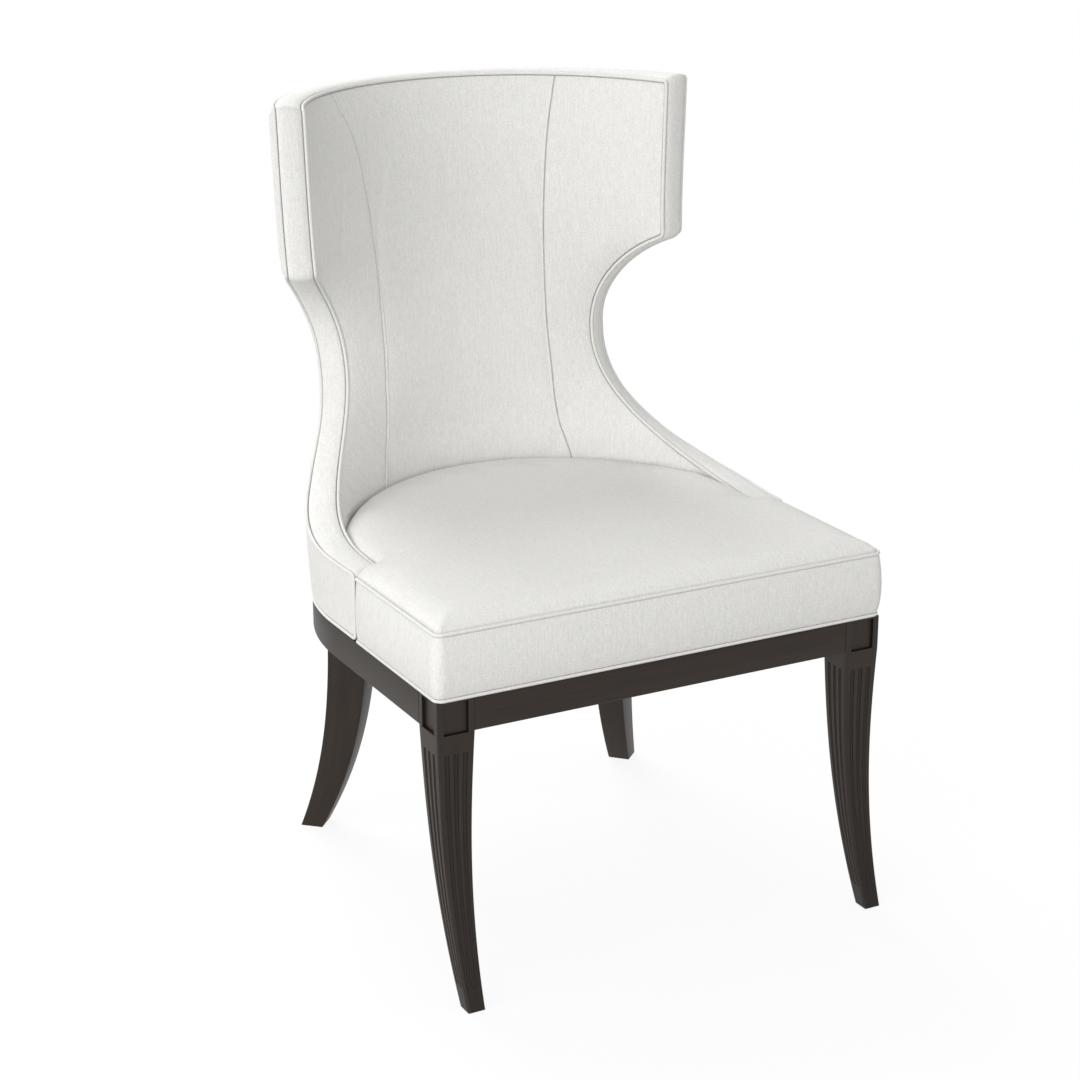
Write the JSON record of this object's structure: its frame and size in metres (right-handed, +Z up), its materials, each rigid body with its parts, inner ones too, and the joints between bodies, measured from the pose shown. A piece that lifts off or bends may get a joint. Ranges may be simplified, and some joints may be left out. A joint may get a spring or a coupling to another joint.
{
  "type": "klismos dining chair",
  "caption": "Upholstered dining chair with a wraparound hourglass back, a boxed cushion seat and sabre legs, the front ones fluted, under a dark show-wood rail",
  "frame": {"origin": "on the floor, under the middle of the chair's plan box", "axes": "+X to the right as seen from in front of the seat, +Y from the seat's front to the back, so that a sitter looks along -Y, and +Z up"},
  "size_m": [0.6432, 0.7502, 1.0226],
  "materials": {
    "show_wood": "espresso stain under semi-matte lacquer",
    "beech": "raw beech",
    "plywood": "raw bent plywood",
    "steel": "zinc-plated steel",
    "glide": "black moulded nylon",
    "webbing": "woven elastic webbing",
    "dust_cloth": "thin black nonwoven cloth",
    "foam": "polyurethane foam with fibre wrap",
    "fabric": "off-white linen-like plain weave with slubs"
  },
  "bodies": {
    "root": {"front_leg_right": "show_wood", "front_leg_left": "show_wood", "front_glide_right": "glide", "front_glide_left": "glide", "rear_leg_right": "show_wood", "rear_leg_left": "show_wood", "rear_glide_right": "glide", "rear_glide_left": "glide", "front_rail": "show_wood", "side_rail_right": "show_wood", "side_rail_left": "show_wood", "rear_rail": "show_wood", "front_rail_dowel_1_right": "beech", "front_rail_dowel_1_left": "beech", "side_rail_dowel_1_right": "beech", "side_rail_dowel_1_left": "beech", "front_rail_dowel_2_right": "beech", "front_rail_dowel_2_left": "beech", "side_rail_dowel_2_right": "beech", "side_rail_dowel_2_left": "beech", "rear_rail_dowel_right": "beech", "rear_rail_dowel_left": "beech", "back_dowel_1": "beech", "back_dowel_2": "beech", "back_dowel_3": "beech", "back_dowel_4": "beech", "back_dowel_5": "beech", "front_corner_block_right": "beech", "front_corner_block_left": "beech", "front_corner_screw_right": "steel", "front_corner_screw_left": "steel", "rear_corner_block_right": "beech", "rear_corner_block_left": "beech", "rear_leg_bolt_right": "steel", "rear_leg_bolt_left": "steel", "cross_strap_1": "webbing", "cross_strap_2": "webbing", "cross_strap_3": "webbing", "long_strap_1": "webbing", "long_strap_2": "webbing", "long_strap_3": "webbing", "dust_cover": "dust_cloth", "seat_foam": "foam", "seat_cover": "fabric", "seat_border": "fabric", "seat_welt_top": "fabric", "seat_welt_bottom": "fabric", "back_shell": "plywood", "back_foam": "foam", "outside_back_cover": "fabric", "inside_back_left": "fabric", "inside_back_centre": "fabric", "inside_back_right": "fabric", "back_band": "fabric", "back_welt_inner": "fabric", "back_welt_outer": "fabric", "back_welt_bottom": "fabric"}
  },
  "joints": []
}
